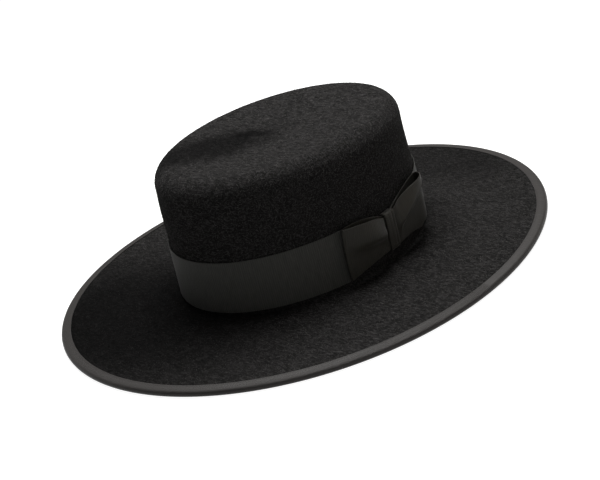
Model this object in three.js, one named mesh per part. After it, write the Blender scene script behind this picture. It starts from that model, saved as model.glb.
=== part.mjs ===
// Gaucho hat in black fur felt: a low oval crown with a dished tip, a wide flat brim bound in
// grosgrain, and a grosgrain hatband tied off with a flat two-loop bow on the wearer's left.
// Millimetres, +Z up. The front of the hat looks along -Y and the wearer's left is +X.
// The origin is on the floor, under the middle of the brim.
import * as THREE from 'three';

// Walls and the running gap between neighbours
const feltThick = 2.2;
const ribbonThick = 1.0;
const clearance = 0.3;

// Brim, measured over its binding
const brimLength = 383.4;
const brimSpan = 351.4;
const brimEgg = -0.026; // the brim is this share narrower at the back
const brimRise = 4.0; // how much higher the brim is at the crown than at its binding
const brimCurve = 1.4; // 1 is a straight cone, more flattens the brim towards its edge
const edgeFall = 1.1; // how far the brim falls across its binding
const bindingWidth = 7.6;

// Crown, measured over the felt
const crownLength = 199.8;
const crownSpan = 168.8;
const crownEgg = 0.019; // the crown is this share wider at the back
const crownHeight = 95.2; // from the brim at the crown's foot to the rim of the tip
const breakRadius = 3.5; // hollow curve between brim and crown
const tipLength = 196.4;
const tipSpan = 160.2;
const tipShift = 2.5; // the tip sits this far behind the foot
const tipTilt = 2.1; // the front of the tip is this much higher than its middle
const shoulderRadius = 12.6;
const tipDish = 3.0; // how far the middle of the tip sinks below its rim

// Hatband
const bandHeight = 38.0;
const bandLift = 2.6; // lower edge above the brim, over the hollow curve

// Bow
const bowLift = 1.5; // the bow sits this far above the band's middle
const bowSlant = 0.055; // how far the bow leans back for each millimetre of height
const bowLength = 95.0; // over both loops, from end to end
const knotAngle = 4.3; // degrees behind the wearer's left side
const knotWidth = 9.4;
const knotBulge = 0.9; // fullness of the knot's front
const pleatDepth = 0.55; // of the pleat down the knot's front
const pleatWidth = 0.25; // of the pleat, as a share of the knot's half width
const topGather = 0.19; // share of the ribbon's height drawn down at the knot
const topGatherPower = 2.7; // how late the upper edge falls on its way to the knot
const bottomGather = 0.15; // share of the ribbon's height drawn up at the knot
const gatherReach = 38.0; // how far from the knot the ribbon is drawn in
const loopBulge = 1.0; // the folded end of a loop stands this far past its corners
const bottomOpening = 0.3; // a loop opens by this share below of what it opens above
const creaseRise = 2.2; // ridge that runs from the knot into each loop
const creaseWidth = 0.2; // of the ridge, as a share of the ribbon's height
const frontDrop = 1.3; // at the knot the front layer's upper edge is this much below the back's

// Dents of the tip. Columns: place along and across as shares of the tip's half length and
// half span, depth as a share of the dish, reach as a share of the tip's half span.
const dents = [
  { along: -0.44, across: -0.16, depth: 1.0, reach: 0.55 },
  { along: 0.30, across: 0.10, depth: 0.25, reach: 0.5 },
];

// Loops of the bow. Columns: node name, side of the knot, share of the bow's length from the
// knot's middle to the loop's end, the front layer's opening and the end's lift off the band
// as shares of the loop, and the height of the ridge at the knot and at the end as shares of
// the ribbon.
const loops = [
  { name: 'bow_front_loop', side: -1, share: 0.453, opening: 0.06, lift: 0.01, crestIn: 0.45, crestOut: 0.6 },
  { name: 'bow_back_loop', side: 1, share: 0.547, opening: 0.07, lift: 0.07, crestIn: 0.38, crestOut: 0.85 },
];

// Fineness of the mesh
const around = 72;
const tipSteps = 5;
const arcSteps = 4;
const edgeSteps = 3;
const brimSteps = 4;
const gatherSteps = 7;
const knotColumns = 1;
const backColumns = 7;
const foldColumns = 4;
const frontColumns = 12;
const loopRows = 8;
const strapColumns = 8;

// Sizes that follow from the ones above
const edgeTop = ribbonThick + clearance + feltThick;
const brimTop = edgeTop + edgeFall;
const foot = brimTop + brimRise;
const tipHeight = foot + crownHeight;
const bindingThick = 2 * (ribbonThick + clearance) + feltThick;
const bandMiddle = foot + bandLift + bandHeight / 2;
const layerPitch = ribbonThick + clearance;
const bandOuter = layerPitch;
const backLayer = bandOuter + clearance + ribbonThick / 2;
const knotHalf = knotWidth / 2 + 2 * clearance;
const quarterTurn = Math.PI / 2;

const mix = (from, to, share) => from + (to - from) * share;
const clamp = (value) => Math.min(Math.max(value, 0), 1);

// An oval ring point: half length along Y, half span along X, egg shape and shift along Y.
function ovalPoint(angle, halfLength, halfSpan, egg, shift, height) {
  const x = halfSpan * Math.cos(angle) * (1 + egg * Math.sin(angle));
  return new THREE.Vector3(x, shift + halfLength * Math.sin(angle), height);
}

// A point beside the crown, so far out from its felt at that height.
function crownPoint(angle, out, height) {
  const share = (height - foot) / crownHeight;
  const halfLength = mix(crownLength, tipLength, share) / 2 + out;
  const halfSpan = mix(crownSpan, tipSpan, share) / 2 + out;
  return ovalPoint(angle, halfLength, halfSpan, crownEgg, tipShift * share, height);
}

// A point on the brim, so far in from the outline of its binding.
function brimPoint(angle, inset, height) {
  return ovalPoint(angle, brimLength / 2 - inset, brimSpan / 2 - inset, brimEgg, 0, height);
}

// How far the tip sinks at a point given as shares of its half length and half span.
function tipSink(along, across) {
  const rimShare = clamp(1 - along * along - across * across);
  let sink = rimShare * rimShare;
  for (const dent of dents) {
    const far = Math.hypot(along - dent.along, across - dent.across) / dent.reach;
    sink += dent.depth * rimShare * Math.exp(-far * far);
  }
  return tipDish * sink;
}

// The felt at one depth below its outer face, from the middle of the tip to the binding.
// Each row is a function that gives the ring's point at an angle.
function feltRows(depth) {
  const rows = [];
  for (let i = 0; i <= tipSteps; i++) {
    const share = i / tipSteps;
    rows.push((angle) => {
      const halfLength = tipLength / 2 - shoulderRadius;
      const halfSpan = tipSpan / 2 - shoulderRadius;
      const sink = tipSink(share * Math.sin(angle), share * Math.cos(angle));
      const height = tipHeight - depth - sink;
      return ovalPoint(angle, halfLength * share, halfSpan * share, crownEgg, tipShift, height);
    });
  }
  for (let i = 1; i <= arcSteps; i++) {
    const turn = quarterTurn * (1 - i / arcSteps);
    const radius = shoulderRadius - depth;
    const out = radius * Math.cos(turn) - shoulderRadius;
    rows.push((angle) => crownPoint(angle, out, tipHeight - shoulderRadius + radius * Math.sin(turn)));
  }
  for (let i = 0; i <= arcSteps; i++) {
    const turn = (quarterTurn * i) / arcSteps;
    const radius = breakRadius + depth;
    const out = breakRadius - radius * Math.cos(turn);
    rows.push((angle) => crownPoint(angle, out, foot + breakRadius - radius * Math.sin(turn)));
  }
  for (let i = 1; i <= brimSteps; i++) {
    const share = i / brimSteps;
    const height = brimTop - depth + brimRise * (1 - share) ** brimCurve;
    rows.push((angle) => {
      const inner = crownPoint(angle, breakRadius, foot);
      return inner.lerp(brimPoint(angle, bindingWidth, foot), share).setZ(height);
    });
  }
  return rows;
}

// Raises the front of the crown: nothing at the foot, the whole tilt at the tip.
function tilted(point) {
  const share = clamp((point.z - foot) / crownHeight);
  point.z -= (tipTilt * share * point.y) / (tipLength / 2);
  return point;
}

// A ring solid: a closed profile turned once round, then each ring laid on its own oval.
function ringSolid(rows, closed, angles) {
  const onAxis = (i) => !closed && (i === 0 || i === rows.length - 1);
  const profile = rows.map((_, i) => new THREE.Vector2(onAxis(i) ? 0 : 1, i));
  if (closed) profile.push(profile[0].clone());
  const geometry = new THREE.LatheGeometry(profile, angles.length - 1);
  const position = geometry.attributes.position;
  angles.forEach((angle, turn) => {
    profile.forEach((_, i) => {
      const point = rows[i % rows.length](angle);
      position.setXYZ(turn * profile.length + i, point.x, point.y, point.z);
    });
  });
  return finished(geometry);
}

// A bent sheet: a box with cells along and up, each corner moved to its place.
function sheetSolid(columns, rows, place) {
  const geometry = new THREE.BoxGeometry(1, 1, 1, columns, rows, 1);
  const position = geometry.attributes.position;
  for (let i = 0; i < position.count; i++) {
    const along = position.getX(i) + 0.5;
    const up = position.getY(i) + 0.5;
    const point = place(along, up, position.getZ(i));
    position.setXYZ(i, point.x, point.y, point.z);
  }
  return finished(geometry);
}

function finished(geometry) {
  geometry.deleteAttribute('uv');
  geometry.computeVertexNormals();
  return geometry;
}

const evenAngles = Array.from({ length: around + 1 }, (_, i) => (2 * Math.PI * i) / around);

// Crown and brim are one piece of felt, with its edge rounded inside the binding.
function feltBody() {
  const edge = [];
  const half = feltThick / 2;
  for (let i = 0; i <= edgeSteps; i++) {
    const turn = quarterTurn - (2 * quarterTurn * i) / edgeSteps;
    const inset = ribbonThick + clearance + half * (1 - Math.cos(turn));
    const height = edgeTop - half + half * Math.sin(turn);
    edge.push((angle) => brimPoint(angle, inset, height));
  }
  const rows = [...feltRows(feltThick), ...edge.reverse(), ...feltRows(0).reverse()];
  return ringSolid(rows.map((row) => (angle) => tilted(row(angle))), false, evenAngles);
}

// Grosgrain folded round the brim's edge. It falls with the felt above and is flat underneath,
// where the hat stands.
function brimBinding() {
  const rows = [];
  const middle = bindingThick / 2;
  for (const [radius, way] of [[middle, 1], [middle - ribbonThick, -1]]) {
    const leg = [];
    for (let i = 0; i <= edgeSteps; i++) {
      const turn = quarterTurn - (2 * quarterTurn * i) / edgeSteps;
      leg.push([middle - radius * Math.cos(turn), middle + radius * Math.sin(turn)]);
    }
    const top = middle + radius + edgeFall;
    const line = [[bindingWidth, top], ...leg, [bindingWidth, middle - radius]];
    if (way < 0) line.reverse();
    for (const [inset, height] of line) rows.push((angle) => brimPoint(angle, inset, height));
  }
  return ringSolid(rows.reverse(), true, evenAngles);
}

// How strongly the ribbon is drawn in at a distance from the knot's middle: 1 at the knot.
function nearness(distance) {
  return 1 - clamp((Math.abs(distance) - knotHalf) / gatherReach);
}

// Height of a point of the ribbon, its place up the ribbon given as a share. The upper edge
// falls late, close to the knot, and the lower edge rises early, from the loop's end.
function ribbonHeight(distance, up) {
  const near = nearness(distance);
  const top = 0.5 - topGather * near ** topGatherPower;
  const bottom = -0.5 + bottomGather * (1 - (1 - near) ** 2);
  return bandMiddle + bandHeight * mix(bottom, top, up);
}

// Plan angle at a distance round the crown from the knot, walked in small steps.
function angleAt(distance) {
  const steps = 48;
  const stride = distance / steps;
  let angle = THREE.MathUtils.degToRad(knotAngle);
  for (let i = 0; i < steps; i++) {
    const nudge = 0.01;
    const here = crownPoint(angle, bandOuter, bandMiddle);
    const reach = here.distanceTo(crownPoint(angle + nudge, bandOuter, bandMiddle));
    angle += (stride / reach) * nudge;
  }
  return angle;
}

// The hatband is one ring of ribbon, drawn in under the knot.
function hatBand() {
  const gathered = [0];
  for (let i = 0; i <= gatherSteps; i++) {
    const distance = knotHalf + (gatherReach * i) / gatherSteps;
    gathered.unshift(-distance);
    gathered.push(distance);
  }
  const columns = gathered.map((distance) => ({ distance, angle: angleAt(distance) }));
  const first = columns[0].angle + 2 * Math.PI;
  const last = columns[columns.length - 1].angle;
  const farSteps = Math.round((around * (first - last)) / (2 * Math.PI));
  for (let i = 1; i < farSteps; i++) {
    columns.push({ distance: Infinity, angle: mix(last, first, i / farSteps) });
  }
  columns.push({ distance: gathered[0], angle: first });
  const inner = [0, 0.5, 1].map((up) => [clearance, up]);
  const outer = [1, 0.5, 0].map((up) => [bandOuter, up]);
  const corners = [...inner, ...outer];
  const rows = corners.map(([out, up]) => (column) => {
    const height = ribbonHeight(column.distance, up) + bowLift * nearness(column.distance);
    return crownPoint(column.angle, out, height);
  });
  return ringSolid(rows.reverse(), true, columns);
}

// The bow's lean at a height, as a distance round the crown.
function leaning(height) {
  return bowSlant * (height - bandMiddle);
}

// Distance from the knot's middle to a column of a layer, with one column at the knot's edge.
function columnDistance(column, columns, reach) {
  if (column <= knotColumns) return mix(clearance / 2, knotHalf, column / knotColumns);
  return mix(knotHalf, reach, (column - knotColumns) / (columns - knotColumns));
}

// The middle of a loop's ribbon: a back layer on the band, a fold at the far end and a front
// layer that bows out, with a ridge. The place is a share of the way round and up the loop.
function loopSection(loop, along, up) {
  const corner = (2 * up - 1) ** 2;
  const fold = layerPitch / 2;
  const length = bowLength * loop.share;
  const reach = length - loopBulge * corner - fold - ribbonThick / 2;
  const cell = along * (backColumns + foldColumns + frontColumns);
  let distance;
  let out = backLayer;
  let front = 0; // share of the way along the front layer, from the fold to the knot
  if (cell <= backColumns) {
    distance = columnDistance(cell, backColumns, reach);
  } else if (cell <= backColumns + foldColumns) {
    const turn = (2 * quarterTurn * (cell - backColumns)) / foldColumns;
    distance = reach + fold * Math.sin(turn);
    out += fold * (1 - Math.cos(turn));
  } else {
    front = (cell - backColumns - foldColumns) / frontColumns;
    distance = columnDistance(frontColumns * (1 - front), frontColumns, reach);
    out += layerPitch;
  }
  const open = Math.sin(2 * quarterTurn * front) * mix(bottomOpening, 1, up);
  const free = clamp((distance - knotHalf) / (length - knotHalf));
  const crest = mix(loop.crestIn, loop.crestOut, free);
  const fade = Math.sin(2 * quarterTurn * free) * (1 - free);
  const ridge = Math.exp(-(((up - crest) / creaseWidth) ** 2)) * fade;
  out += length * loop.opening * open * Math.sin(quarterTurn * free);
  out += front > 0 ? creaseRise * ridge : 0;
  out += length * loop.lift * up * free ** 3;
  return { distance, out, drop: frontDrop * front * up };
}

// One loop of the bow: the ribbon's middle, thickened to both sides.
function bowLoop(loop) {
  const columns = backColumns + foldColumns + frontColumns;
  return sheetSolid(columns, loopRows, (along, up, through) => {
    const here = loopSection(loop, along, up);
    const nudge = 0.2 / columns;
    const before = loopSection(loop, Math.max(along - nudge, 0), up);
    const after = loopSection(loop, Math.min(along + nudge, 1), up);
    const heading = new THREE.Vector2(after.distance - before.distance, after.out - before.out).normalize();
    const shift = through * ribbonThick * loop.side;
    const distance = here.distance - heading.y * shift;
    const out = here.out + heading.x * shift;
    const height = ribbonHeight(distance, up) + bowLift - here.drop;
    return crownPoint(angleAt(loop.side * distance + leaning(height)), out, height);
  });
}

// The knot: a strap wrapped over the gathered ribbons, with one pleat down its front.
function bowKnot() {
  const front = backLayer + layerPitch + ribbonThick / 2 + clearance;
  const half = (bandHeight * (1 - topGather - bottomGather)) / 2 + clearance;
  const lower = [new THREE.Vector2(clearance, -half)];
  for (let i = 0; i <= edgeSteps; i++) {
    const turn = (quarterTurn * i) / edgeSteps;
    const out = front - clearance * (1 - Math.sin(turn));
    lower.push(new THREE.Vector2(out, -half + clearance * (1 - Math.cos(turn))));
  }
  lower.push(new THREE.Vector2(front, -half / 3));
  const upper = lower.map((point) => new THREE.Vector2(point.x, -point.y)).reverse();
  const line = [...lower, ...upper];
  const middle = bandMiddle + bowLift + (bandHeight * (bottomGather - topGather)) / 2;
  const last = line.length - 1;
  return sheetSolid(strapColumns, last, (along, up, through) => {
    const index = Math.round(up * last);
    const here = line[index];
    const heading = line[Math.min(index + 1, last)].clone().sub(line[Math.max(index - 1, 0)]).normalize();
    const cover = through + 0.5; // 0 on the strap's inner face, 1 on its outer face
    const side = 2 * along - 1; // -1 on the strap's front edge, 1 on its back edge
    const full = knotBulge * (1 - (here.y / half) ** 2) * (1 - side * side);
    const pleat = pleatDepth * Math.exp(-((side / pleatWidth) ** 2)) * cover * clamp(heading.y);
    const out = here.x + heading.y * ribbonThick * cover + full - pleat;
    const height = middle + here.y - heading.x * ribbonThick * cover;
    return crownPoint(angleAt((side * knotWidth) / 2 + leaning(height)), out, height);
  });
}

// Finishes
const furFelt = new THREE.MeshStandardMaterial({ color: 0x1b1b1c, roughness: 0.95, metalness: 0 });
const bandRibbon = new THREE.MeshStandardMaterial({ color: 0x2c2c2a, roughness: 0.8, metalness: 0 });
const edgeRibbon = new THREE.MeshStandardMaterial({ color: 0x4a4644, roughness: 0.8, metalness: 0 });

const hat = new THREE.Group();

function addPiece(name, geometry, material) {
  const mesh = new THREE.Mesh(geometry, material);
  mesh.name = name;
  hat.add(mesh);
}

addPiece('felt_body', feltBody(), furFelt);
addPiece('brim_binding', brimBinding(), edgeRibbon);
addPiece('hat_band', hatBand(), bandRibbon);
for (const loop of loops) addPiece(loop.name, bowLoop(loop), bandRibbon);
addPiece('bow_knot', bowKnot(), bandRibbon);

export default hat;
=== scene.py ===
# Gaucho hat in black fur felt: a low oval crown with a dished tip, a wide flat brim bound in
# grosgrain, and a grosgrain hatband tied off with a flat two-loop bow on the wearer's left.
# The front of the hat looks along -Y, the wearer's left is +X, and the floor is at Z = 0.
# Shapes are worked out in millimetres and their meshes are stored in metres.
import math

import bmesh
import bpy
import numpy as np
from mathutils import Matrix, Vector


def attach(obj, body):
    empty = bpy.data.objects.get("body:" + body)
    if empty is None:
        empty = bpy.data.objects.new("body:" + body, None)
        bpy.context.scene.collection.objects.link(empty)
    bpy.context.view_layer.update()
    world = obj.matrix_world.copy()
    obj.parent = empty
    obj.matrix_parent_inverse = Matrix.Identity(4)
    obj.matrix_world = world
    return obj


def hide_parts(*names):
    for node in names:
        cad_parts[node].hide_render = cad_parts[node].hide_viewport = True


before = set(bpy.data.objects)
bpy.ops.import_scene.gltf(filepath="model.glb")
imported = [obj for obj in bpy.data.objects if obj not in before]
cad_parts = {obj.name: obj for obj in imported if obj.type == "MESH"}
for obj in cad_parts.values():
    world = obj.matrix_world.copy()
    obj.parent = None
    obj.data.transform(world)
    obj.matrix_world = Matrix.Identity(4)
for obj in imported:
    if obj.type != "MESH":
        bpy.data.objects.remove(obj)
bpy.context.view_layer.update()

MM = 0.001

# Sizes of the hat, in millimetres, as the solids have them
FELT_THICK = 2.2
RIBBON_THICK = 1.0
CLEARANCE = 0.3
BRIM_LENGTH = 383.4
BRIM_SPAN = 351.4
BRIM_EGG = -0.026  # the brim is this share narrower at the back
BRIM_RISE = 4.0  # how much higher the brim is at the crown than at its binding
BRIM_CURVE = 1.4  # 1 is a straight cone, more flattens the brim towards its edge
EDGE_FALL = 1.1  # how far the brim falls across its binding
BINDING_WIDTH = 7.6
CROWN_LENGTH = 199.8
CROWN_SPAN = 168.8
CROWN_EGG = 0.019  # the crown is this share wider at the back
CROWN_HEIGHT = 95.2  # from the crown's foot to the rim of the tip
BREAK_RADIUS = 3.5  # hollow curve between brim and crown
TIP_LENGTH = 196.4
TIP_SPAN = 160.2
TIP_SHIFT = 2.5  # the tip sits this far behind the foot
TIP_TILT = 2.1  # the front of the tip is this much higher than its middle
SHOULDER_RADIUS = 12.6
TIP_DISH = 3.0  # how far the middle of the tip sinks below its rim, dents aside
BAND_HEIGHT = 38.0
BAND_LIFT = 2.6  # lower edge above the crown's foot
BOW_LIFT = 1.5  # the bow sits this far above the band's middle
BOW_SLANT = 0.055  # how far the bow leans back for each millimetre of height
BOW_LENGTH = 95.0  # over both loops, from end to end
KNOT_ANGLE = 4.3  # degrees behind the wearer's left side
KNOT_WIDTH = 9.4
KNOT_BULGE = 0.9  # fullness of the knot's front
TOP_GATHER = 0.19  # share of the ribbon's height drawn down at the knot
TOP_GATHER_POWER = 2.7  # how late the upper edge falls on its way to the knot
BOTTOM_GATHER = 0.15  # share of the ribbon's height drawn up at the knot
GATHER_REACH = 38.0  # how far from the knot the ribbon is drawn in
LOOP_BULGE = 1.0  # the folded end of a loop stands this far past its corners
BOTTOM_OPENING = 0.3  # a loop opens by this share below of what it opens above

# Dents of the tip: place as shares of its half length and half span, depth as a share of the
# dish, reach as a share of the half span
DENTS = [
    {"along": -0.44, "across": -0.16, "depth": 1.0, "reach": 0.55},
    {"along": 0.30, "across": 0.10, "depth": 0.25, "reach": 0.5},
]

# Loops of the bow. Side is the way round the crown. Shares are of the bow's length for share, of
# the loop's length for opening (how far the layers part) and lift (how far the upper corner leans
# out), and of the ribbon's height for crest_in, crest_out and spread (the ridge's place at the knot
# and at the end, and its reach upwards). Millimetres are drop (of the front layer's upper edge at
# the knot), stand (of the end off the band), ridge, roll (beside the knot), fold (radius of the
# end), slant (how much shorter the upper edge is), climb and tuck (how far the end is raised, and
# its lower corner besides). Widest and pinch are powers that place and narrow the opening.
LOOPS = [
    {
        "name": "bow_front_ribbon",
        "side": -1,
        "share": 0.453,
        "opening": 0.095,
        "drop": 1.3,
        "lift": 0.01,
        "stand": 2.3,
        "crest_in": 0.5,
        "crest_out": 0.66,
        "ridge": 6.0,
        "roll": 0.0,
        "fold": 1.0,
        "widest": 1.0,
        "pinch": 1.0,
        "spread": 0.4,
        "slant": 0.0,
        "climb": 0.0,
        "tuck": 0.0,
    },
    {
        "name": "bow_back_ribbon",
        "side": 1,
        "share": 0.547,
        "opening": 0.07,
        "drop": -0.5,
        "lift": 0.065,
        "stand": 1.2,
        "crest_in": 0.46,
        "crest_out": 1.02,
        "ridge": 6.4,
        "roll": 0.7,
        "fold": 1.0,
        "widest": 0.5,
        "pinch": 2.3,
        "spread": 0.28,
        "slant": 4.9,
        "climb": 2.2,
        "tuck": 3.0,
    },
]

# Sizes that follow from the ones above
EDGE_TOP = RIBBON_THICK + CLEARANCE + FELT_THICK
BRIM_TOP = EDGE_TOP + EDGE_FALL
FOOT = BRIM_TOP + BRIM_RISE
TIP_HEIGHT = FOOT + CROWN_HEIGHT
BINDING_THICK = 2 * (RIBBON_THICK + CLEARANCE) + FELT_THICK
BAND_MIDDLE = FOOT + BAND_LIFT + BAND_HEIGHT / 2
LAYER_PITCH = RIBBON_THICK + CLEARANCE
BAND_OUTER = LAYER_PITCH
BACK_LAYER = BAND_OUTER + CLEARANCE + RIBBON_THICK / 2
KNOT_HALF = KNOT_WIDTH / 2 + 2 * CLEARANCE
QUARTER = math.pi / 2

# Surface detail that only the looks have
AROUND = 320  # columns round the felt
RIBBON_AROUND = 480  # columns round the binding and the band
WALK_STEPS = 4000  # steps of the table of distance round the crown
LOOP_COLUMNS = 150
ROUND_STEPS = 5  # points on the rounded selvedge of a ribbon
EDGE_STEPS = 8  # steps round the felt's edge
BINDING_STEPS = 14  # steps round the binding's fold
LEG_POINTS = 12  # points along each leg of the binding
LEG_START = 0.5  # from the fold to a leg's first point
LEG_ROUND = 0.15  # rounding of the selvedge at a leg's end
BAND_FACE = 25  # points up one face of the band
LOOP_FACE = 33  # points up one face of a loop
STRAP_FACE = 45  # points across one face of the knot's strap
KNOT_FRONT = 27  # points up the knot's front
HEADING_STEP = 0.2  # step to both sides that gives a loop's heading, as a share of a column
CORNER_STEPS = 8  # steps where the knot rolls over the ribbons' edges
# Rows of the felt on each stretch of its section, outside and inside
OUTER_STEPS = {"tip": 36, "shoulder": 12, "wall": 30, "break": 8, "brim": 40}
INNER_STEPS = {"tip": 20, "shoulder": 8, "wall": 14, "break": 6, "brim": 24}
BLOCKING_WAVE = 0.22  # how far hand blocking leaves the felt off its true line
# Waves left by blocking: how many round the hat, start and gain for each millimetre of height in
# radians, and strength as a share
BLOCKING_WAVES = [
    {"round": 3, "start": 0.7, "climb": 0.021, "share": 1.0},
    {"round": 5, "start": 2.1, "climb": -0.034, "share": 0.7},
    {"round": 9, "start": 4.0, "climb": 0.05, "share": 0.5},
]
# Where the waves are: on the wall between two heights, and on the brim, up to just above the
# crown's foot, over a reach that starts at a distance from the hat's middle
WALL_WAVES = {"above_foot": 45, "fade_in": 12, "below_tip": 14, "fade_out": 8}
BRIM_WAVES = {"start": 100, "reach": 75, "above_foot": 0.5, "strength": 1.2}
CLOTH_THICK = 0.55  # real grosgrain, thinner than the solids have it
LAYER_GAP = 0.15  # between the band and the bow's back layer
SELVEDGE_WIDTH = 1.1  # woven edge of a ribbon, a little thicker than its middle
SELVEDGE_RISE = 0.08  # how much thicker, on each face
CREASE_SPREAD = 0.15  # of a loop's ridge towards the crease below it, as a share of the ribbon
ROLL_PLACE = 3.2  # middle of the soft roll beside the knot, from the knot's edge
ROLL_REACH = 2.4  # how far the roll spreads to both sides
ROLL_LOW = 0.55  # the roll's share at the lower edge
RIDGE_PEAK = 0.7  # power that moves a ridge's highest place towards the knot
RIDGE_FALL = 0.45  # share that a ridge loses towards the end
GATHER_FOLD = 0.16  # small folds that fan out from the knot
GATHER_FOLDS = 3.5  # how many over the ribbon's height
GATHER_FADE = 6  # power with which they fade away from the knot
UNDER_KNOT = 1.6  # stretch beside the knot in which the folds start
BACK_LEAN = 5  # powers with which the layers of a loop lean out towards its end
FRONT_LEAN = 3
RAISE = 1.5  # power with which a loop's end is raised
# Along a loop: the end of its back layer and of its fold, as shares
BACK_END = 0.35
FOLD_END = 0.5
HUG_GAP = 0.05  # between the felt and the inner edges of its binding
KNOT_PROUD = 0.4  # how far the knot stands off the loops
KNOT_CORNER = 1.7  # radius at which the knot rolls over the ribbons' edges
PLEAT_WIDTH = 0.13  # share of the knot's half width
EDGE_DROOP = 0.2  # how far the knot's side edges turn down
DROOP_POWER = 6  # power that keeps the droop at those edges
PLEAT_FADE = 0.5  # share that a pleat loses towards the knot's ends
# Pleats of the knot: place from its front edge at -1 to its back edge at 1, and depth
KNOT_PLEATS = [
    {"place": -0.36, "depth": 0.3},
    {"place": 0.42, "depth": 0.85},
]
BACK_MIDDLE = BAND_OUTER + LAYER_GAP + CLOTH_THICK / 2


def mix(start, end, share):
    """A value on the way from one to another."""
    return start + (end - start) * share


def clamp(value):
    """The value held between 0 and 1."""
    return np.clip(value, 0.0, 1.0)


def smooth(value):
    """0 below 0 and 1 above 1, with a soft start and end."""
    t = clamp(value)
    return t * t * (3 - 2 * t)


# Ovals of the hat


def oval_point(angle, half_length, half_span, egg, shift, height):
    """A point on an oval that is wider at its back by the share egg, and shifted back."""
    x = half_span * np.cos(angle) * (1 + egg * np.sin(angle))
    y = shift + half_length * np.sin(angle)
    z = height + np.zeros_like(x)
    return np.stack([x, y, z], axis=-1)


def crown_point(angle, out, height):
    """A point beside the crown, so far out from its felt at that height."""
    share = (height - FOOT) / CROWN_HEIGHT
    half_length = mix(CROWN_LENGTH, TIP_LENGTH, share) / 2 + out
    half_span = mix(CROWN_SPAN, TIP_SPAN, share) / 2 + out
    return oval_point(angle, half_length, half_span, CROWN_EGG, TIP_SHIFT * share, height)


def brim_point(angle, inset, height):
    """A point on the brim, so far in from the outline of its binding."""
    return oval_point(angle, BRIM_LENGTH / 2 - inset, BRIM_SPAN / 2 - inset, BRIM_EGG, 0.0, height)


def tip_sink(along, across):
    """How far the tip sinks at a point given as shares of its half length and half span."""
    rim = clamp(1 - along**2 - across**2)
    sink = rim**2
    for dent in DENTS:
        far = np.hypot(along - dent["along"], across - dent["across"]) / dent["reach"]
        sink = sink + dent["depth"] * rim * np.exp(-far * far)
    return TIP_DISH * sink


def tilted(points):
    """Raises the front of the crown: nothing at the foot, the whole tilt at the tip."""
    share = clamp((points[..., 2] - FOOT) / CROWN_HEIGHT)
    points[..., 2] -= TIP_TILT * share * points[..., 1] / (TIP_LENGTH / 2)
    return points


# Meshes


def new_object(name, data):
    """An object of a mesh, light or camera, linked to the scene."""
    item = bpy.data.objects.new(name, data)
    bpy.context.scene.collection.objects.link(item)
    return item


def grid_piece(name, grid, uv):
    """A piece from rows of points that run on from one another, with a UV of the same shape.
    Points that meet are merged, which closes its seams and poles."""
    rows, columns = grid.shape[:2]
    index = np.arange(rows * columns).reshape(rows, columns)
    quads = np.stack([index[:-1, :-1], index[:-1, 1:], index[1:, 1:], index[1:, :-1]], axis=-1)
    quads = quads.reshape(-1, 4)
    mesh = bpy.data.meshes.new(name)
    mesh.from_pydata((grid.reshape(-1, 3) * MM).tolist(), [], quads.tolist())
    layer = mesh.uv_layers.new(name="ribbon")
    layer.data.foreach_set("uv", (uv.reshape(-1, 2)[quads.ravel()] * MM).ravel())
    tidy = bmesh.new()
    tidy.from_mesh(mesh)
    bmesh.ops.remove_doubles(tidy, verts=tidy.verts, dist=2e-6)
    bmesh.ops.dissolve_degenerate(tidy, edges=tidy.edges, dist=1e-7)
    bmesh.ops.recalc_face_normals(tidy, faces=tidy.faces)
    tidy.to_mesh(mesh)
    tidy.free()
    mesh.polygons.foreach_set("use_smooth", [True] * len(mesh.polygons))
    return new_object(name, mesh)


def lengths_along(grid):
    """Distance walked along each row of points, and down each column."""
    across = np.linalg.norm(np.diff(grid, axis=1), axis=2)
    down = np.linalg.norm(np.diff(grid, axis=0), axis=2)
    u = np.concatenate([np.zeros((len(grid), 1)), np.cumsum(across, axis=1)], axis=1)
    v = np.concatenate([np.zeros((1, grid.shape[1])), np.cumsum(down, axis=0)], axis=0)
    return u, v


def ribbon_section(steps, edge_steps, width):
    """Round the cross-section of a ribbon: place up its width as a share, and millimetres off
    its middle. Both selvedges are rounded and a little thicker than the cloth between them."""
    half = CLOTH_THICK / 2
    straight = np.linspace(half / width, 1 - half / width, steps)
    from_edge = np.minimum(straight, 1 - straight) * width
    thick = half + SELVEDGE_RISE * np.exp(-((from_edge / SELVEDGE_WIDTH) ** 2)) - SELVEDGE_RISE
    turns = np.linspace(0, math.pi, edge_steps + 2)[1:-1]
    end = thick[-1]
    top = [(1 - half / width + math.sin(t) * half / width, math.cos(t) * end) for t in turns]
    face = list(zip(straight, thick))
    back = [(up, -off) for up, off in reversed(face)]
    bottom = [(1 - up, -off) for up, off in top]
    section = face + top + back + bottom
    section.append(section[0])
    return np.array(section)


# Felt: the crown and the brim are one blocked piece


def blocked(height, angle):
    """The slight waves that blocking and brushing by hand leave in the felt."""
    waves = [
        wave["share"] * np.sin(wave["round"] * angle + wave["start"] + height * wave["climb"])
        for wave in BLOCKING_WAVES
    ]
    return sum(waves) * BLOCKING_WAVE


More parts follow.
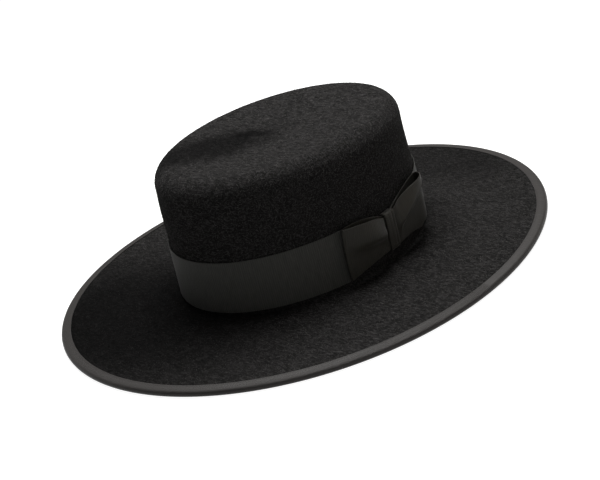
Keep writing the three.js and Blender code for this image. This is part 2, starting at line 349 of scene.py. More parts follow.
def felt_rows(depth, angle, steps):
    """Rings of the felt at one depth below its outer face, from the tip's middle outwards."""
    rows = []
    half_length = TIP_LENGTH / 2 - SHOULDER_RADIUS
    half_span = TIP_SPAN / 2 - SHOULDER_RADIUS
    for share in np.linspace(0, 1, steps["tip"] + 1):
        sink = tip_sink(share * np.sin(angle), share * np.cos(angle))
        height = TIP_HEIGHT - depth - sink
        rows.append(
            oval_point(angle, half_length * share, half_span * share, CROWN_EGG, TIP_SHIFT, height)
        )
    radius = SHOULDER_RADIUS - depth
    for turn in np.linspace(QUARTER, 0, steps["shoulder"] + 1)[1:]:
        out = radius * math.cos(turn) - SHOULDER_RADIUS
        rows.append(crown_point(angle, out, TIP_HEIGHT - SHOULDER_RADIUS + radius * math.sin(turn)))
    top = TIP_HEIGHT - SHOULDER_RADIUS
    low = FOOT + BREAK_RADIUS
    for height in np.linspace(top, low, steps["wall"] + 1)[1:-1]:
        rows.append(crown_point(angle, -depth, height))
    radius = BREAK_RADIUS + depth
    for turn in np.linspace(0, QUARTER, steps["break"] + 1):
        out = BREAK_RADIUS - radius * math.cos(turn)
        rows.append(crown_point(angle, out, FOOT + BREAK_RADIUS - radius * math.sin(turn)))
    inner = crown_point(angle, BREAK_RADIUS, FOOT)
    outer = brim_point(angle, BINDING_WIDTH, FOOT)
    for share in np.linspace(0, 1, steps["brim"] + 1)[1:]:
        ring = mix(inner, outer, share)
        ring[..., 2] = BRIM_TOP - depth + BRIM_RISE * (1 - share) ** BRIM_CURVE
        rows.append(ring)
    return rows


def wavy(rows, angle):
    """Tilts the crown and lays the blocking waves into the rings of felt: in and out on the wall
    above the band, and up and down on the brim, fading towards the crown and the edge."""
    grid = tilted(np.array(rows))
    height = grid[..., 2]
    wave = blocked(height, angle)
    reach = np.hypot(grid[..., 0], grid[..., 1])
    above = height - FOOT - WALL_WAVES["above_foot"]
    below = TIP_HEIGHT - WALL_WAVES["below_tip"] - height
    on_wall = smooth(above / WALL_WAVES["fade_in"]) * smooth(below / WALL_WAVES["fade_out"])
    plan = grid[..., :2] / np.maximum(reach, 1)[..., None]
    grid[..., :2] += plan * (wave * on_wall)[..., None]
    brim_share = clamp((reach - BRIM_WAVES["start"]) / BRIM_WAVES["reach"])
    low = height < FOOT + BRIM_WAVES["above_foot"]
    on_brim = np.where(low, np.sin(math.pi * brim_share), 0.0)
    grid[..., 2] += wave * on_brim * BRIM_WAVES["strength"]
    return grid


def felt_grid():
    """The felt's outer face, its rounded edge inside the binding, and its inner face."""
    angle = np.linspace(0, 2 * math.pi, AROUND + 1)
    angle[-1] = 0.0
    half = FELT_THICK / 2
    edge = []
    for turn in np.linspace(QUARTER, -QUARTER, EDGE_STEPS + 1)[1:-1]:
        inset = RIBBON_THICK + CLEARANCE + half * (1 - math.cos(turn))
        edge.append(brim_point(angle, inset, EDGE_TOP - half + half * math.sin(turn)))
    start = brim_point(angle, RIBBON_THICK + CLEARANCE + half, EDGE_TOP)
    end = brim_point(angle, RIBBON_THICK + CLEARANCE + half, EDGE_TOP - FELT_THICK)
    outer = felt_rows(0.0, angle, OUTER_STEPS)
    inner = felt_rows(FELT_THICK, angle, INNER_STEPS)
    return wavy([*outer, start, *edge, end, *reversed(inner)], angle)


felt_points = felt_grid()
felt_u, felt_v = lengths_along(felt_points)
felt_uv = np.stack([felt_u, felt_v], axis=-1)
felt = grid_piece("felt_hat", felt_points, felt_uv)

# Binding of the brim's edge


def binding_grid():
    """The binding: a ribbon folded round the edge, its two ends hugging the felt."""
    angle = np.linspace(0, 2 * math.pi, RIBBON_AROUND + 1)
    angle[-1] = 0.0
    middle = BINDING_THICK / 2
    inner_radius = middle - RIBBON_THICK
    turns = np.linspace(QUARTER, -QUARTER, BINDING_STEPS + 1)
    outer, inner = (
        [(middle - radius * math.cos(t), middle + radius * math.sin(t)) for t in turns]
        for radius in (middle, inner_radius)
    )
    insets = np.linspace(BINDING_WIDTH - LEG_ROUND, middle + LEG_START, LEG_POINTS)
    way_in = (insets - middle) / (BINDING_WIDTH - middle)
    share = smooth(way_in)
    fall = EDGE_FALL * way_in
    rise = mix(middle, FELT_THICK / 2 + HUG_GAP + CLOTH_THICK, share)
    rise = rise + SELVEDGE_RISE * np.exp(-(((BINDING_WIDTH - insets) / SELVEDGE_WIDTH) ** 2))
    under = mix(inner_radius, FELT_THICK / 2 + HUG_GAP, share)
    end = [(BINDING_WIDTH, middle + EDGE_FALL + FELT_THICK / 2 + HUG_GAP + CLOTH_THICK / 2)]
    top = list(zip(insets, middle + fall + rise))
    top_under = list(zip(insets, middle + fall + under))
    low = list(zip(insets, middle + fall - rise))[::-1]
    low_under = list(zip(insets, middle + fall - under))
    low_end = [(BINDING_WIDTH, 2 * (middle + EDGE_FALL) - end[0][1])]
    line = [*end, *top, *outer, *low, *low_end, *low_under, *reversed(inner), *reversed(top_under)]
    line.append(line[0])
    rows = [brim_point(angle, inset, height) for inset, height in line]
    return np.array(rows)


binding_points = binding_grid()
binding_u, binding_v = lengths_along(binding_points)
binding = grid_piece("brim_edge_ribbon", binding_points, np.stack([binding_u, binding_v], axis=-1))

# Hatband


def nearness(distance):
    """How strongly the ribbon is drawn in at a distance from the knot's middle: 1 at the knot."""
    return 1 - clamp((np.abs(distance) - KNOT_HALF) / GATHER_REACH)


def ribbon_height(distance, up):
    """Height of a place up the ribbon's width, at a distance from the knot's middle."""
    near = nearness(distance)
    top = 0.5 - TOP_GATHER * near**TOP_GATHER_POWER
    bottom = -0.5 + BOTTOM_GATHER * (1 - (1 - near) ** 2)
    return BAND_MIDDLE + BAND_HEIGHT * mix(bottom, top, up)


def walk_round():
    """A table of distance round the crown from the knot against plan angle."""
    angle = np.linspace(-math.pi, math.pi, WALK_STEPS + 1) + math.radians(KNOT_ANGLE)
    ring = crown_point(angle, BAND_OUTER, BAND_MIDDLE)
    step = np.linalg.norm(np.diff(ring, axis=0), axis=1)
    distance = np.concatenate([[0.0], np.cumsum(step)])
    return distance - distance[WALK_STEPS // 2], angle


WALK_DISTANCE, WALK_ANGLE = walk_round()


def angle_at(distance):
    """Plan angle at a distance round the crown from the knot."""
    return np.interp(distance, WALK_DISTANCE, WALK_ANGLE)


def band_grid():
    """The hatband: one closed turn of ribbon, drawn in behind the knot."""
    distance = np.linspace(WALK_DISTANCE[0], WALK_DISTANCE[-1], RIBBON_AROUND + 1)
    angle = angle_at(distance)
    section = ribbon_section(BAND_FACE, ROUND_STEPS, BAND_HEIGHT)
    middle = BAND_OUTER - CLOTH_THICK / 2
    rows = []
    for up, off in section:
        height = ribbon_height(distance, up) + BOW_LIFT * nearness(distance)
        rows.append(crown_point(angle, middle + off, height))
    grid = np.array(rows)
    grid[:, -1] = grid[:, 0]
    u = np.broadcast_to(distance - distance[0], grid.shape[:2])
    v = np.broadcast_to((section[:, 0] * BAND_HEIGHT)[:, None], grid.shape[:2])
    return grid, np.stack([u, v], axis=-1)


band_points, band_uv = band_grid()
band = grid_piece("hat_band_ribbon", band_points, band_uv)

# Bow


def leaning(height):
    """The bow's lean at a height, as a distance round the crown."""
    return BOW_SLANT * (height - BAND_MIDDLE)


def loop_section(loop, along, up):
    """The middle of a loop's ribbon: distance from the knot, distance out from the felt, and
    drop of the front layer. Along runs from 0 at the knot's back layer, through the fold at
    the loop's end, to 1 at the knot's front layer."""
    corner = (2 * up - 1) ** 2
    fold = loop["fold"]
    length = BOW_LENGTH * loop["share"]
    reach = length - LOOP_BULGE * corner - loop["slant"] * up - fold - CLOTH_THICK / 2
    start = CLEARANCE / 2
    back_share = clamp(along / BACK_END)
    fold_turn = math.pi * clamp((along - BACK_END) / (FOLD_END - BACK_END))
    front = clamp((along - FOLD_END) / (1 - FOLD_END))
    on_back = along < BACK_END
    on_front = along > FOLD_END
    distance = np.where(on_back, mix(start, reach, back_share), reach + fold * np.sin(fold_turn))
    distance = np.where(on_front, mix(reach, start, front), distance)
    out = BACK_MIDDLE + fold * (1 - np.cos(fold_turn))
    free = clamp((distance - KNOT_HALF) / (length - KNOT_HALF))
    parted = np.sin(math.pi * front ** loop["widest"]) ** loop["pinch"]
    opened = parted * mix(BOTTOM_OPENING, 1.0, up)
    out = out + length * loop["opening"] * opened * np.sin(QUARTER * free)
    # The ridge falls softly to the upper edge and steeply to a crease below it
    crest = mix(loop["crest_in"], loop["crest_out"], free)
    spread = np.where(up > crest, loop["spread"], CREASE_SPREAD)
    fade = np.sin(math.pi * free**RIDGE_PEAK) * (1 - RIDGE_FALL * free)
    ridge = np.exp(-(((up - crest) / spread) ** 2)) * fade
    beside = distance - KNOT_HALF
    roll = np.exp(-(((beside - ROLL_PLACE) / ROLL_REACH) ** 2)) * mix(ROLL_LOW, 1.0, up)
    folds = loop["ridge"] * ridge + loop["roll"] * roll
    fan = np.cos(2 * math.pi * GATHER_FOLDS * up)
    folds = folds + GATHER_FOLD * (1 - free) ** GATHER_FADE * fan
    out = out + np.where(on_front, folds * smooth(beside / UNDER_KNOT), 0.0)
    lean = np.where(on_back, free**BACK_LEAN, free**FRONT_LEAN)
    out = out + length * loop["lift"] * up * lean + loop["stand"] * lean
    return distance, out, loop["drop"] * front * up


def loop_grid(loop):
    """A loop of the bow: ribbon from under the knot, out to its fold and back again."""
    section = ribbon_section(LOOP_FACE, ROUND_STEPS, BAND_HEIGHT)
    along = np.linspace(0, 1, LOOP_COLUMNS + 1)[:, None]
    up = section[None, :, 0]
    off = section[None, :, 1] * loop["side"]
    distance, out, drop = loop_section(loop, along, up)
    nudge = HEADING_STEP / LOOP_COLUMNS
    before = loop_section(loop, np.maximum(along - nudge, 0), up)
    after = loop_section(loop, np.minimum(along + nudge, 1), up)
    heading = np.stack([after[0] - before[0], after[1] - before[1]], axis=-1)
    heading /= np.linalg.norm(heading, axis=-1, keepdims=True)
    # The ribbon's ends close on their own middle, under the knot
    closed = np.zeros_like(off)
    off_all = np.concatenate([closed, *[off] * (LOOP_COLUMNS + 1), closed])
    take = np.concatenate([[0], np.arange(LOOP_COLUMNS + 1), [LOOP_COLUMNS]])
    distance, out, drop = distance[take], out[take], drop[take]
    heading = heading[take]
    up_all = np.broadcast_to(up, distance.shape)
    placed = distance - heading[..., 1] * off_all
    out = out + heading[..., 0] * off_all
    outwards = clamp((placed - KNOT_HALF) / (BOW_LENGTH * loop["share"] - KNOT_HALF)) ** RAISE
    raised = outwards * (loop["climb"] + loop["tuck"] * (1 - up_all))
    height = ribbon_height(placed, up_all) + BOW_LIFT - drop + raised
    grid = crown_point(angle_at(loop["side"] * placed + leaning(height)), out, height)
    walked, _ = lengths_along(grid.transpose(1, 0, 2))
    uv = np.stack([walked.T, up_all * BAND_HEIGHT], axis=-1)
    return grid, uv


bow_pieces = []
for loop in LOOPS:
    loop_points, loop_uv = loop_grid(loop)
    bow_pieces.append(grid_piece(loop["name"], loop_points, loop_uv))


def knot_grid():
    """The knot: a strap wrapped over the gathered ribbons, its cloth laid in soft pleats."""
    front = BACK_LAYER + LAYER_PITCH + RIBBON_THICK + CLEARANCE + KNOT_PROUD
    half = BAND_HEIGHT * (1 - TOP_GATHER - BOTTOM_GATHER) / 2 + CLEARANCE + RIBBON_THICK / 2
    turns = np.linspace(0, QUARTER, CORNER_STEPS + 1)
    corner = [
        (front - KNOT_CORNER * (1 - math.sin(t)), -half + KNOT_CORNER * (1 - math.cos(t)))
        for t in turns
    ]
    lower = [(CLEARANCE, -half), (mix(CLEARANCE, corner[0][0], 0.5), -half), *corner]
    between = np.linspace(-half + KNOT_CORNER, half - KNOT_CORNER, KNOT_FRONT)[1:-1]
    face = [(front, y) for y in between]
    upper = [(out, -y) for out, y in reversed(lower)]
    line = np.array(lower + face + upper)
    heading = np.gradient(line, axis=0)
    heading /= np.linalg.norm(heading, axis=1, keepdims=True)
    middle = BAND_MIDDLE + BOW_LIFT + BAND_HEIGHT * (BOTTOM_GATHER - TOP_GATHER) / 2
    section = ribbon_section(STRAP_FACE, ROUND_STEPS, KNOT_WIDTH)
    side = 2 * section[:, 0] - 1
    off = section[:, 1]
    out, y = line[:, :1], line[:, 1:]
    hx, hy = heading[:, :1], heading[:, 1:]
    full = KNOT_BULGE * (1 - (y / half) ** 2) * (1 - side**2)
    shallow = clamp(hy) * (1 - PLEAT_FADE * (y / half) ** 2)
    for pleat in KNOT_PLEATS:
        groove = np.exp(-(((side - pleat["place"]) / PLEAT_WIDTH) ** 2))
        full = full - pleat["depth"] * groove * shallow
    droop = EDGE_DROOP * np.abs(side) ** DROOP_POWER * clamp(hy)
    placed_out = out + hy * off + full - droop
    height = middle + y - hx * off
    # Both ends of the strap close on their own middle, against the felt
    inmost = np.full_like(height[:1], CLEARANCE)
    lowest = np.full_like(inmost, middle + y[0, 0])
    highest = np.full_like(inmost, middle + y[-1, 0])
    placed_out = np.concatenate([inmost, placed_out, inmost])
    height = np.concatenate([lowest, height, highest])
    side_all = np.broadcast_to(side, height.shape)
    grid = crown_point(angle_at(side_all * KNOT_WIDTH / 2 + leaning(height)), placed_out, height)
    walked, _ = lengths_along(grid.transpose(1, 0, 2))
    uv = np.stack([walked.T, np.broadcast_to(section[:, 0] * KNOT_WIDTH, height.shape)], axis=-1)
    return grid, uv


knot_points, knot_uv = knot_grid()
knot = grid_piece("bow_knot_strap", knot_points, knot_uv)

# Materials

SHADE_WANDER = 0.026  # how far the patches' edges wander in all, in metres
# Patches of painted shade that darken the felt's colour, two on the front of the tip, one on the
# brim in front of the crown and one on the brim behind it: middle and half size in metres, turn in
# plan in degrees, and how much darker they are
SHADE_PATCHES = [
    {"middle": (-0.033, -0.036, 0.1), "half": (0.034, 0.080, 0.05), "turn": -30, "shade": 0.74},
    {"middle": (-0.021, -0.001, 0.1), "half": (0.010, 0.026, 0.05), "turn": -64, "shade": 0.66},
    {"middle": (-0.060, -0.122, 0.006), "half": (0.19, 0.135, 0.05), "turn": 0, "shade": 0.84},
    {"middle": (0.0, 0.165, 0.006), "half": (0.12, 0.07, 0.05), "turn": 0, "shade": 0.4},
]


def linear(hex_colour):
    """An sRGB hex colour as linear red, green, blue and alpha."""
    values = [int(hex_colour[i : i + 2], 16) / 255 for i in (0, 2, 4)]
    return [v / 12.92 if v <= 0.04045 else ((v + 0.055) / 1.055) ** 2.4 for v in values] + [1.0]


def add(tree, kind, settings=None, inputs=None, links=None):
    """Adds a node with its settings, input values and links from other nodes' outputs."""
    node = tree.nodes.new(kind)
    for name, value in (settings or {}).items():
        setattr(node, name, value)
    for name, value in (inputs or {}).items():
        node.inputs[name].default_value = value
    for name, socket in (links or {}).items():
        tree.links.new(socket, node.inputs[name])
    return node


def noise(tree, place, scale, detail, roughness=0.5):
    """Noise over a place, which is another node's output."""
    return add(
        tree,
        "ShaderNodeTexNoise",
        inputs={"Scale": scale, "Detail": detail, "Roughness": roughness},
        links={"Vector": place},
    )


def toned(tree, share, start, end):
    """A colour between two, each a hex colour or another node's output. The two are inputs 6
    and 7 of the node."""
    blend = add(tree, "ShaderNodeMix", {"data_type": "RGBA"}, links={"Factor": share})
    for slot, colour in ((6, start), (7, end)):
        if isinstance(colour, str):
            blend.inputs[slot].default_value = linear(colour)
        else:
            tree.links.new(colour, blend.inputs[slot])
    return blend.outputs[2]


def surfaced(tree, inputs, links=None):
    """Ends a material in one shader."""
    shader = add(tree, "ShaderNodeBsdfPrincipled", inputs=inputs, links=links)
    add(tree, "ShaderNodeOutputMaterial", links={"Surface": shader.outputs[0]})


def new_material(name):
    """A material with an empty node tree."""
    material = bpy.data.materials.new(name)
    material.use_nodes = True
    material.node_tree.nodes.clear()
    return material, material.node_tree


def painted_shade(tree, place, colour):
    """Darkens a colour with painted shade on the patches listed above."""
    wander = noise(tree, place, scale=75, detail=5.0)
    offset = add(
        tree,
        "ShaderNodeVectorMath",
        {"operation": "MULTIPLY_ADD"},
        {1: (SHADE_WANDER,) * 3, 2: (-SHADE_WANDER / 2,) * 3},
        {0: wander.outputs["Color"]},
    )
    place = add(
        tree, "ShaderNodeVectorMath", {"operation": "ADD"}, links={0: place, 1: offset.outputs[0]}
    ).outputs[0]
    for patch in SHADE_PATCHES:
        centred = add(
            tree,
            "ShaderNodeMapping",
            {"vector_type": "TEXTURE"},
            {
                "Location": patch["middle"],
                "Rotation": (0, 0, math.radians(patch["turn"])),
                "Scale": patch["half"],
            },
            {"Vector": place},
        )
        ball = add(
            tree,
            "ShaderNodeTexGradient",
            {"gradient_type": "SPHERICAL"},
            links={"Vector": centred.outputs[0]},
        )
        inside = add(
            tree,
            "ShaderNodeMapRange",
            {"interpolation_type": "SMOOTHSTEP"},
            {"From Min": 0.0, "From Max": 0.75, "To Max": patch["shade"]},
            {"Value": ball.outputs["Fac"]},
        )
        colour = toned(tree, inside.outputs[0], colour, "010101")
    return colour


HAIR_CURL = 0.0024  # how far the matted hairs are bent, in metres
# Fineness of the matted hairs along and across themselves
HAIR_ALONG = 0.22
HAIR_ACROSS = 1.35
# Layers of matted hairs, each turned in plan, in degrees
HAIR_LAYERS = [
    {"turn": 12, "scale": 1.0},
    {"turn": 57, "scale": 1.1},
    {"turn": 101, "scale": 0.95},
    {"turn": 148, "scale": 1.05},
]


def fur_felt():
    """Brushed fur felt, dyed black: matted hairs that lie every way and drink the light, with
    hardly any gloss. They are drawn about 6 mm long and 1 mm wide, coarser than real ones, so
    that they show."""
    material, tree = new_material("brushed fur felt")
    place = add(tree, "ShaderNodeTexCoord").outputs["Object"]
    curl = noise(tree, place, scale=200, detail=1.0)
    bend = add(
        tree,
        "ShaderNodeVectorMath",
        {"operation": "MULTIPLY_ADD"},
        {1: (HAIR_CURL,) * 3},
        {0: curl.outputs["Color"], 2: place},
    )
    hairs = None
    for hair_layer in HAIR_LAYERS:
        scale = hair_layer["scale"]
        stretch = add(
            tree,
            "ShaderNodeMapping",
            inputs={
                "Rotation": (0, 0, math.radians(hair_layer["turn"])),
                "Scale": (scale * HAIR_ALONG, scale * HAIR_ACROSS, scale * HAIR_ACROSS),
            },
            links={"Vector": bend.outputs[0]},
        )
        layer = noise(tree, stretch.outputs[0], scale=720, detail=2.0, roughness=0.55)
        if hairs is None:
            hairs = layer.outputs["Fac"]
        else:
            hairs = add(
                tree,
                "ShaderNodeMath",
                {"operation": "MAXIMUM"},
                links={0: hairs, 1: layer.outputs["Fac"]},
            ).outputs[0]
    patches = noise(tree, place, scale=110, detail=3.0, roughness=0.6)
    fleck = add(
        tree,
        "ShaderNodeMapRange",
        inputs={"From Min": 0.56, "From Max": 0.76, "To Min": 0.0, "To Max": 1.0},
        links={"Value": hairs},
    )
    base = toned(tree, patches.outputs["Fac"], "080808", "141413")
    colour = toned(tree, fleck.outputs[0], base, "2c2b2b")
    nap = add(
        tree,
        "ShaderNodeBump",
        inputs={"Strength": 0.8, "Distance": 0.0009},
        links={"Height": hairs},
    )
    # The felt's colour carries the painted shade of the patches above
    surfaced(
        tree,
        {
            "Roughness": 0.95,
            "Specular IOR Level": 0.02,
            "Sheen Weight": 0.005,
            "Sheen Roughness": 0.5,
        },
        {"Base Color": painted_shade(tree, place, colour), "Normal": nap.outputs[0]},
    )
    return material


def felt_hair():
    """Single hairs of the felt's nap, dull and dyed black, with some tufts left paler, which
    show as flecks."""
    material, tree = new_material("fur felt nap hairs")
    place = add(tree, "ShaderNodeTexCoord").outputs["Object"]
    tuft = noise(tree, place, scale=420, detail=1.0)
    colour = toned(tree, tuft.outputs["Fac"], "080808", "3c3a39")
    # The hairs carry the same painted shade as the felt
    surfaced(
        tree,
        {"Roughness": 0.8, "Specular IOR Level": 0.08},
        {"Base Color": painted_shade(tree, place, colour)},
    )
    return material


RIB_PITCH = 0.0015  # in metres; real ribs are about 0.7 mm apart, too fine to show here
RIB_DEPTH = 0.00025
RIB_SCALE = math.pi / 10 / RIB_PITCH  # of a band texture, so that its bands repeat at that pitch


def grosgrain(name, dark, light, roughness, sheen):
    """Grosgrain ribbon: fine silk-like warp over thick cross ribs, which give a dull, slightly
    streaky face."""
    material, tree = new_material(name)
    cloth = add(tree, "ShaderNodeUVMap", {"uv_map": "ribbon"}).outputs[0]
    ribs = add(
        tree,
        "ShaderNodeTexWave",
        {"wave_type": "BANDS", "bands_direction": "X", "wave_profile": "SIN"},
        {"Scale": RIB_SCALE, "Distortion": 0.6, "Detail": 1.0, "Detail Scale": 0.4},
        {"Vector": cloth},
    )
    along = add(
        tree, "ShaderNodeMapping", inputs={"Scale": (1.0, 0.12, 1.0)}, links={"Vector": cloth}
    )
    threads = noise(tree, along.outputs[0], scale=900, detail=3.0, roughness=0.6)
    shade = add(
        tree,
        "ShaderNodeMath",
        {"operation": "MULTIPLY_ADD"},
        {1: 0.35},
        {0: ribs.outputs["Fac"], 2: threads.outputs["Fac"]},
    )
    tone = add(
        tree,
        "ShaderNodeMapRange",
        inputs={"From Min": 0.3, "From Max": 1.05},
        links={"Value": shade.outputs[0]},
    )
    rise = add(
        tree,
        "ShaderNodeBump",
        inputs={"Strength": 0.6, "Distance": RIB_DEPTH},
        links={"Height": shade.outputs[0]},
    )
    surfaced(
        tree,
        {
            "Roughness": roughness,
            "Specular IOR Level": 0.2,
            "Sheen Weight": sheen,
            "Sheen Roughness": 0.4,
        },
        {"Base Color": toned(tree, tone.outputs[0], dark, light), "Normal": rise.outputs[0]},
    )
    return material


def studio_floor():
    """Matt white studio paper, lit from behind as well, so that it stays pale all over."""
    material, tree = new_material("matt studio paper")
    surfaced(
        tree,
        {
            "Base Color": linear("80807f"),
            "Roughness": 0.9,
            "Specular IOR Level": 0.1,
            "Emission Color": linear("ffffff"),
            "Emission Strength": 0.93,
        },
    )
    return material


felt_material = fur_felt()
hair_material = felt_hair()
band_material = grosgrain("black grosgrain hatband", "1f1f1d", "31312e", 0.7, 0.02)
# The bow is the hatband's ribbon, coloured darker and warmer as painted shade and painted warm
# light
bow_shaded_material = grosgrain("black grosgrain bow", "151410", "22201b", 0.6, 0.05)
edge_material = grosgrain("charcoal grosgrain binding", "151312", "201d1b", 0.6, 0.08)

felt.data.materials.append(felt_material)
binding.data.materials.append(edge_material)
band.data.materials.append(band_material)
for piece in (knot, *bow_pieces):
    piece.data.materials.append(bow_shaded_material)

# Nap: loose hairs over the outside of the felt, coarser than real ones so that they show

HAIR_GROWTH = (0.5, 1.4)  # smallest and largest hair, as shares of the set length and width


def nap_tree():
    """Scatters closed tapered hairs over a patch of felt and lays each along the surface."""
    tree = bpy.data.node_groups.new("felt nap", "GeometryNodeTree")
    face = tree.interface
    face.new_socket("Geometry", in_out="INPUT", socket_type="NodeSocketGeometry")
    for name, kind in (
        ("Hairs per square metre", "NodeSocketFloat"),
        ("Hair length", "NodeSocketFloat"),
        ("Hair width", "NodeSocketFloat"),
        ("Lift angle", "NodeSocketFloat"),
        ("Seed", "NodeSocketInt"),
        ("Hair material", "NodeSocketMaterial"),
    ):
        face.new_socket(name, in_out="INPUT", socket_type=kind)
    face.new_socket("Geometry", in_out="OUTPUT", socket_type="NodeSocketGeometry")
    given = add(tree, "NodeGroupInput").outputs
    points = add(
        tree,
        "GeometryNodeDistributePointsOnFaces",
        links={
            "Mesh": given["Geometry"],
            "Density": given["Hairs per square metre"],
            "Seed": given["Seed"],
        },
    )
    hair = add(tree, "GeometryNodeMeshUVSphere", inputs={"Segments": 3, "Rings": 2, "Radius": 0.5})
    size = add(
        tree,
        "ShaderNodeCombineXYZ",
        links={"X": given["Hair width"], "Y": given["Hair width"], "Z": given["Hair length"]},
    )
    drawn = add(
        tree,
        "GeometryNodeTransform",
        links={"Geometry": hair.outputs["Mesh"], "Scale": size.outputs[0]},
    )
    laid = add(
        tree,
        "GeometryNodeTransform",
        inputs={"Rotation": (0, QUARTER, 0)},
        links={"Geometry": drawn.outputs[0]},
    )
    lift_low = add(
        tree, "ShaderNodeMath", {"operation": "MULTIPLY"}, {1: -1.0}, {0: given["Lift angle"]}
    )
    low = add(
        tree, "ShaderNodeCombineXYZ", inputs={"Z": -math.pi}, links={"Y": lift_low.outputs[0]}
    )
    high = add(
        tree,
        "ShaderNodeCombineXYZ",
        inputs={"X": math.pi, "Z": math.pi},
        links={"Y": given["Lift angle"]},
    )
    turn = add(
        tree,
        "FunctionNodeRandomValue",
        {"data_type": "FLOAT_VECTOR"},
        links={0: low.outputs[0], 1: high.outputs[0], "Seed": given["Seed"]},
    )
    placed = add(
        tree,
        "FunctionNodeRotateRotation",
        {"rotation_space": "LOCAL"},
        links={"Rotation": points.outputs["Rotation"], "Rotate By": turn.outputs[0]},
    )
    grown = add(
        tree,
        "FunctionNodeRandomValue",
        {"data_type": "FLOAT"},
        {2: HAIR_GROWTH[0], 3: HAIR_GROWTH[1]},
        {"Seed": given["Seed"]},
    )
    hairs = add(
        tree,
        "GeometryNodeInstanceOnPoints",
        links={
            "Points": points.outputs["Points"],
            "Instance": laid.outputs[0],
            "Rotation": placed.outputs[0],
            "Scale": grown.outputs[1],
        },
    )
    real = add(tree, "GeometryNodeRealizeInstances", links={"Geometry": hairs.outputs[0]})
    finished = add(
        tree,
        "GeometryNodeSetMaterial",
        links={"Geometry": real.outputs[0], "Material": given["Hair material"]},
    )
    add(tree, "NodeGroupOutput", links={"Geometry": finished.outputs[0]})
    return tree


def grow_nap(name, patch_rows, settings):
    """Grows hairs on a band of the felt's outer rows and returns them as one plain mesh."""
    patch = grid_piece(name + "_patch", felt_points[patch_rows], felt_uv[patch_rows])
    modifier = patch.modifiers.new("nap", "NODES")
    modifier.node_group = NAP
    for item in NAP.interface.items_tree:
        if item.item_type == "SOCKET" and item.in_out == "INPUT" and item.name in settings:
            modifier[item.identifier] = settings[item.name]
    bpy.context.view_layer.update()
    evaluated = patch.evaluated_get(bpy.context.evaluated_depsgraph_get())
    mesh = bpy.data.meshes.new_from_object(evaluated)
    patch.modifiers.clear()
    bpy.data.objects.remove(patch)
    mesh.name = name
    return new_object(name, mesh)


NAP = nap_tree()
NAP_SETTINGS = {
    "Hairs per square metre": 330000.0,
    "Hair length": 0.0024,
    "Hair width": 0.00034,
    "Lift angle": 0.16,
    "Hair material": hair_material,
}
# Rows of the felt that carry nap: the crown to just above its foot, and the brim's top
WALL_ROWS = OUTER_STEPS["tip"] + OUTER_STEPS["shoulder"] + OUTER_STEPS["wall"]
BRIM_ROW = WALL_ROWS + OUTER_STEPS["break"]
crown_rows = slice(0, BRIM_ROW - 2)
brim_rows = slice(BRIM_ROW, BRIM_ROW + OUTER_STEPS["brim"] + 1)
crown_nap = grow_nap("crown_nap", crown_rows, {**NAP_SETTINGS, "Seed": 4})
brim_nap = grow_nap("brim_nap", brim_rows, {**NAP_SETTINGS, "Seed": 9})

# Bodies and replaced solids
PLACES = [
    (felt, "felt_body", "fur_felt"),
    (binding, "brim_binding", "edge_ribbon"),
    (band, "hat_band", "band_ribbon"),
    (bow_pieces[0], "bow_front_loop", "band_ribbon"),
    (bow_pieces[1], "bow_back_loop", "band_ribbon"),
    (knot, "bow_knot", "band_ribbon"),
]
for piece, node, slot in PLACES:
    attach(piece, "root")
    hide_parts(node)
for nap in (crown_nap, brim_nap):
    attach(nap, "root")

# Camera: it looks down at the hat from its front left, turned about its own line of sight
VIEW_AROUND = math.radians(50)  # from the front of the hat towards the wearer's left
VIEW_DOWN = math.radians(23.92)
VIEW_ROLL = math.radians(15.67)
VIEW_DISTANCE = 1.2  # in metres
AIM = Vector((0, 0, 0.0023))
LENS_LENGTH = 97.56  # in millimetres, for a picture 36 mm wide
PICTURE_WIDTH = 36
PICTURE_SHIFT = (-0.0100, 0.0264)  # shares of the picture's width

back = Vector(
    (
        math.sin(VIEW_AROUND) * math.cos(VIEW_DOWN),
        -math.cos(VIEW_AROUND) * math.cos(VIEW_DOWN),
        math.sin(VIEW_DOWN),
    )
)
level = Vector((math.cos(VIEW_AROUND), math.sin(VIEW_AROUND), 0))
upright = back.cross(level)
right = level * math.cos(VIEW_ROLL) - upright * math.sin(VIEW_ROLL)
up = level * math.sin(VIEW_ROLL) + upright * math.cos(VIEW_ROLL)
turned = Matrix((right, up, back)).transposed().to_4x4()
lens = bpy.data.cameras.new("camera")
lens.lens = LENS_LENGTH
lens.sensor_width = PICTURE_WIDTH
lens.shift_x, lens.shift_y = PICTURE_SHIFT
lens.clip_end = 50
camera = new_object("camera", lens)
camera.matrix_world = Matrix.Translation(AIM + back * VIEW_DISTANCE) @ turned
bpy.context.scene.camera = camera

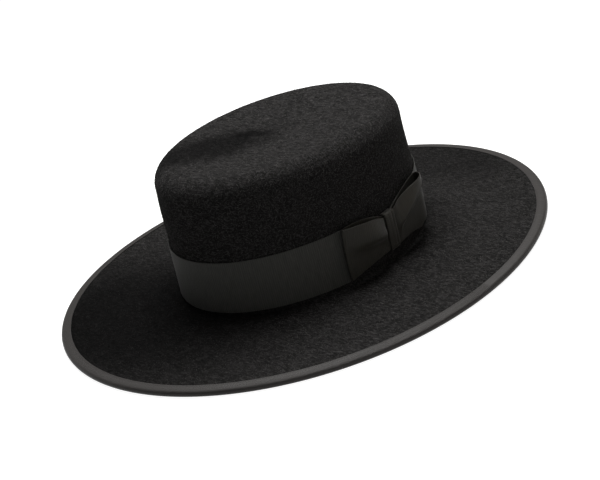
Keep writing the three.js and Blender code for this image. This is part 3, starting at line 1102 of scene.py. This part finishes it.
# Floor and light
FLOOR_HALF = 6.0
FLOOR_DROP = 0.0001  # keeps the floor just clear of the binding
WORLD_LIGHT = 0.05
floor_mesh = bpy.data.meshes.new("floor")
corners = [
    (x * FLOOR_HALF, y * FLOOR_HALF, -FLOOR_DROP) for x, y in [(-1, -1), (1, -1), (1, 1), (-1, 1)]
]
floor_mesh.from_pydata(corners, [], [(0, 1, 2, 3)])
floor_mesh.materials.append(studio_floor())
floor = new_object("floor", floor_mesh)


def softbox(name, place, target, width, height, watts, colour):
    """A rectangular soft light that faces its target."""
    light = bpy.data.lights.new(name, "AREA")
    light.shape = "RECTANGLE"
    light.size = width
    light.size_y = height
    light.energy = watts
    light.color = colour
    holder = new_object(name, light)
    holder.location = place
    holder.rotation_euler = (Vector(target) - Vector(place)).to_track_quat("-Z", "Y").to_euler()


# Directions from the hat: level points to the photo's right, away to its back
away = Vector((-math.sin(VIEW_AROUND), math.cos(VIEW_AROUND), 0))
top = Vector((0, 0, 1))
LIT_POINT = (0, 0, 0.05)

# Soft boxes. Columns: name, metres up, metres to the right, metres away from the camera, width,
# height, watts and colour.
SOFT_BOXES = [
    ("overhead", 0.85, 0.05, 0.24, 0.5, 0.5, 21.0, (1.0, 0.995, 0.99)),
    ("near_right", 0.75, 0.2, 0.18, 0.4, 0.4, 1.4, (1.0, 0.99, 0.975)),
    ("front_fill", 0.5, 0.2, -1.2, 0.6, 0.6, 2.8, (1.0, 0.995, 0.98)),
    ("low_right", 0.3, 1.2, -0.4, 0.5, 0.4, 0.8, (1.0, 0.8, 0.62)),
]
for name, high, sideways, behind, width, height, watts, colour in SOFT_BOXES:
    place = top * high + level * sideways + away * behind
    softbox(name, place, LIT_POINT, width, height, watts, colour)

world = bpy.data.worlds.new("studio")
world.use_nodes = True
world.node_tree.nodes["Background"].inputs["Color"].default_value = (1, 1, 1, 1)
world.node_tree.nodes["Background"].inputs["Strength"].default_value = WORLD_LIGHT
bpy.context.scene.world = world
bpy.context.scene.view_settings.view_transform = "Standard"
